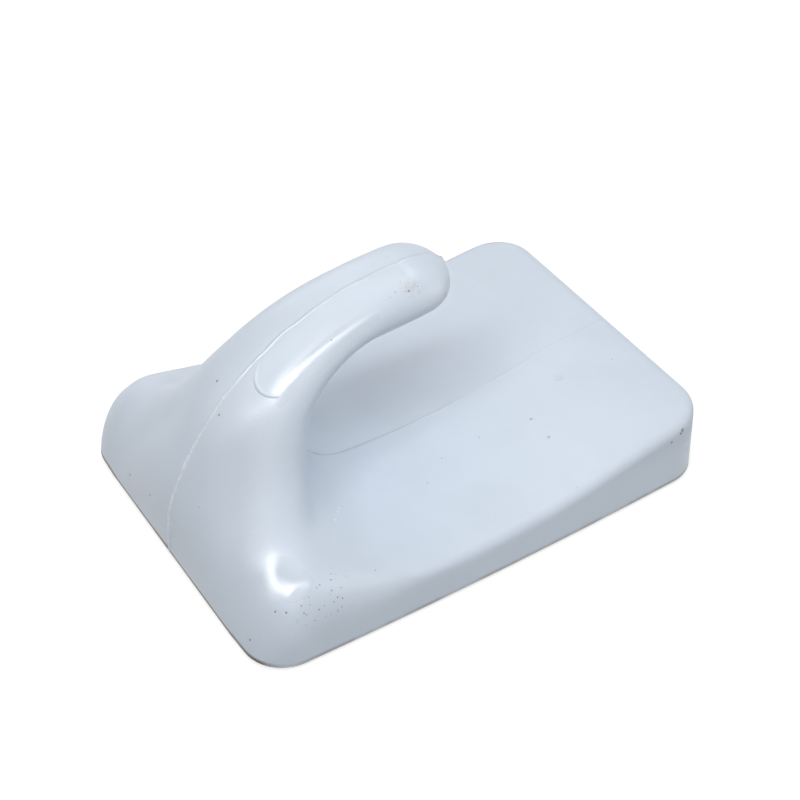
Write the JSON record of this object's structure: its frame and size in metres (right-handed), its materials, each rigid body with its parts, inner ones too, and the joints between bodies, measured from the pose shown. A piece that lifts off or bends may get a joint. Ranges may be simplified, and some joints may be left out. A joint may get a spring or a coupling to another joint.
{
  "type": "adhesive wall hook",
  "caption": "Self-adhesive wall hook: a thick moulded plate with a dished face and a rounded finger curling out of one end, on a foam mounting pad under a release liner.",
  "frame": {"origin": "centre of the plate on the wall face, the outer face of the release liner", "axes": "+Z out from the wall, +Y along the plate towards its top end, +X across the plate; the part lies on its back"},
  "size_m": [0.0444, 0.06, 0.0291],
  "materials": {
    "moulding": "glossy moulded plastic with a fine orange peel",
    "adhesive": "tacky film",
    "foam": "closed-cell foam",
    "liner": "siliconised paper"
  },
  "bodies": {
    "hook": {"hook_body": "moulding", "film_hook": "adhesive", "foam_core": "foam", "film_wall": "adhesive"},
    "liner": {"release_liner": "liner"}
  },
  "joints": [
    {"name": "liner_peel", "type": "slide", "parent": "hook", "child": "liner", "axis": [0, 1, 0], "range_m": [0, 0.07]}
  ]
}
